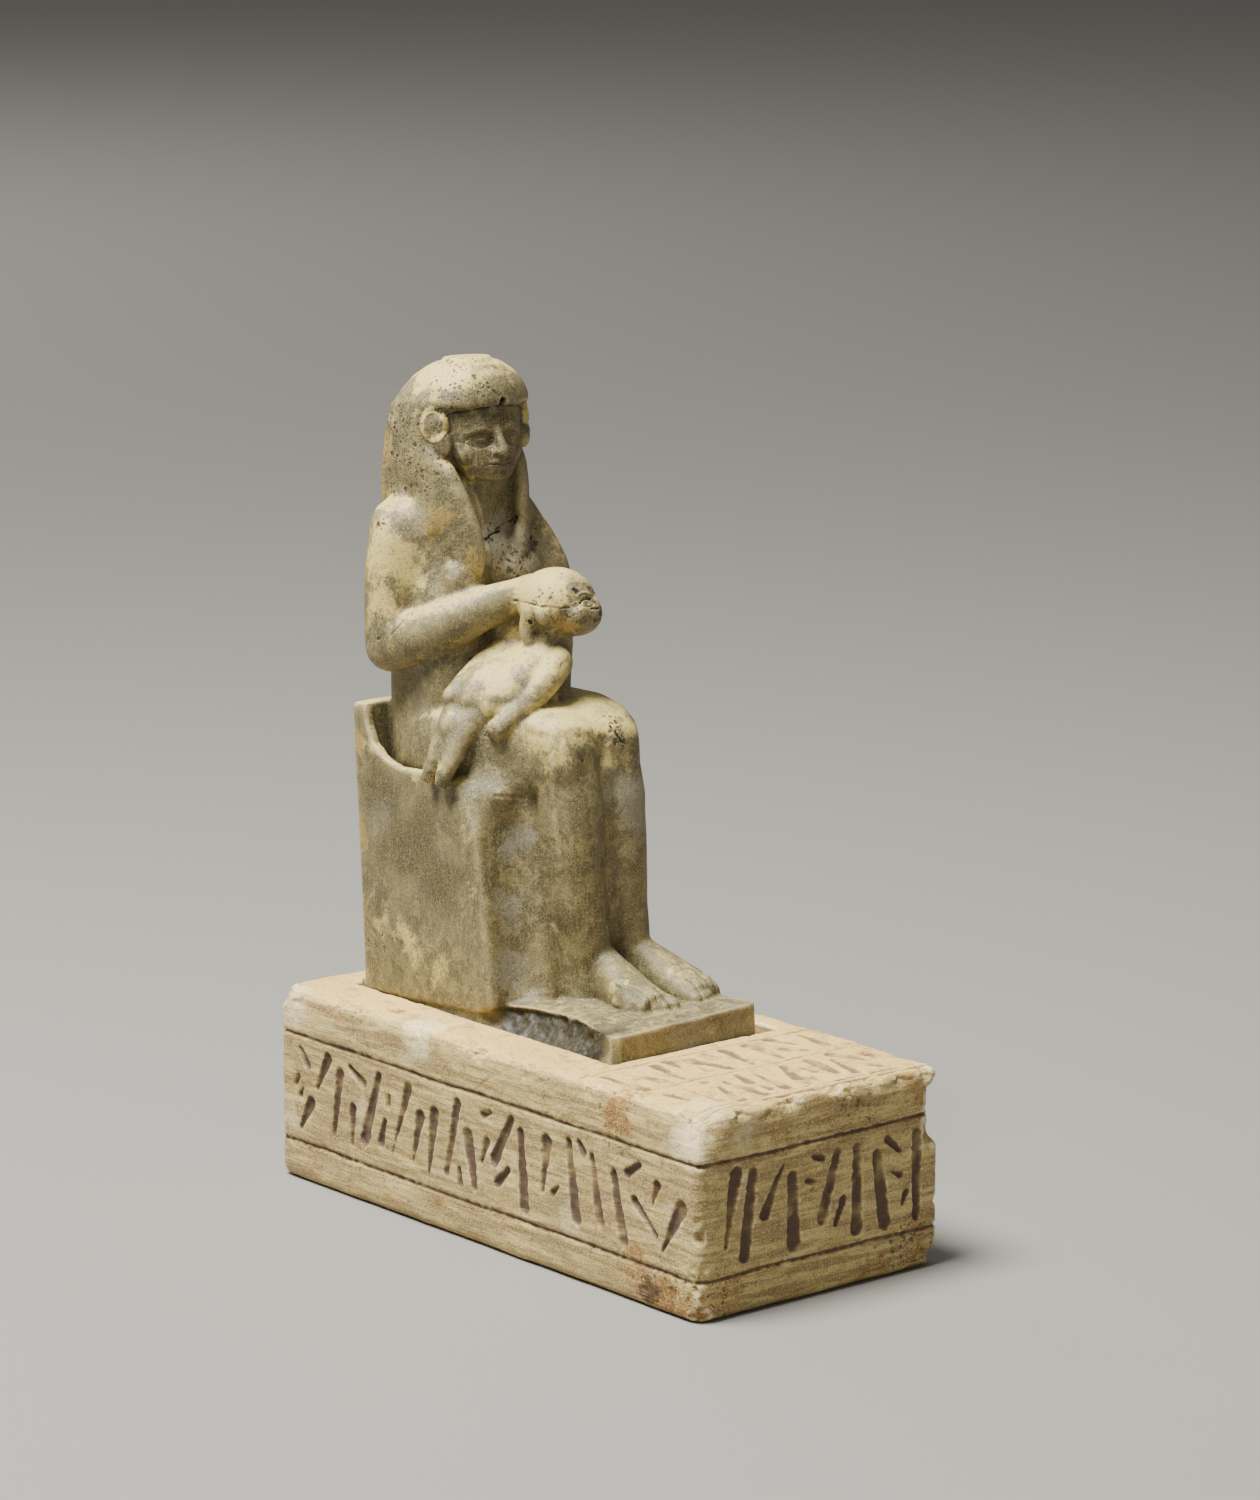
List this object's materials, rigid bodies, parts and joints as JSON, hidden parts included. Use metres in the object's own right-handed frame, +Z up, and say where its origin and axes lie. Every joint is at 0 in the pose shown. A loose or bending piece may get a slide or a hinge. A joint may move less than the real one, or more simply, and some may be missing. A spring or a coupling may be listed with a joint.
{
  "type": "isis and horus figure",
  "caption": "Small carved stone group of a seated goddess nursing a child on her lap, set in the shallow recess of a long stone plinth with an incised band.",
  "frame": {"origin": "bottom centre of the plinth", "axes": "+Z up, -Y the way the figure faces, +X to the figure's left"},
  "size_m": [0.0626, 0.135, 0.1716],
  "materials": {
    "figure_stone": "smooth worn olive grey stone with cream and ochre patches",
    "plinth_stone": "pale banded stone, honed and worn, brown in the incised lines"
  },
  "bodies": {
    "root": {"figure": "figure_stone", "plinth": "plinth_stone"}
  },
  "joints": []
}
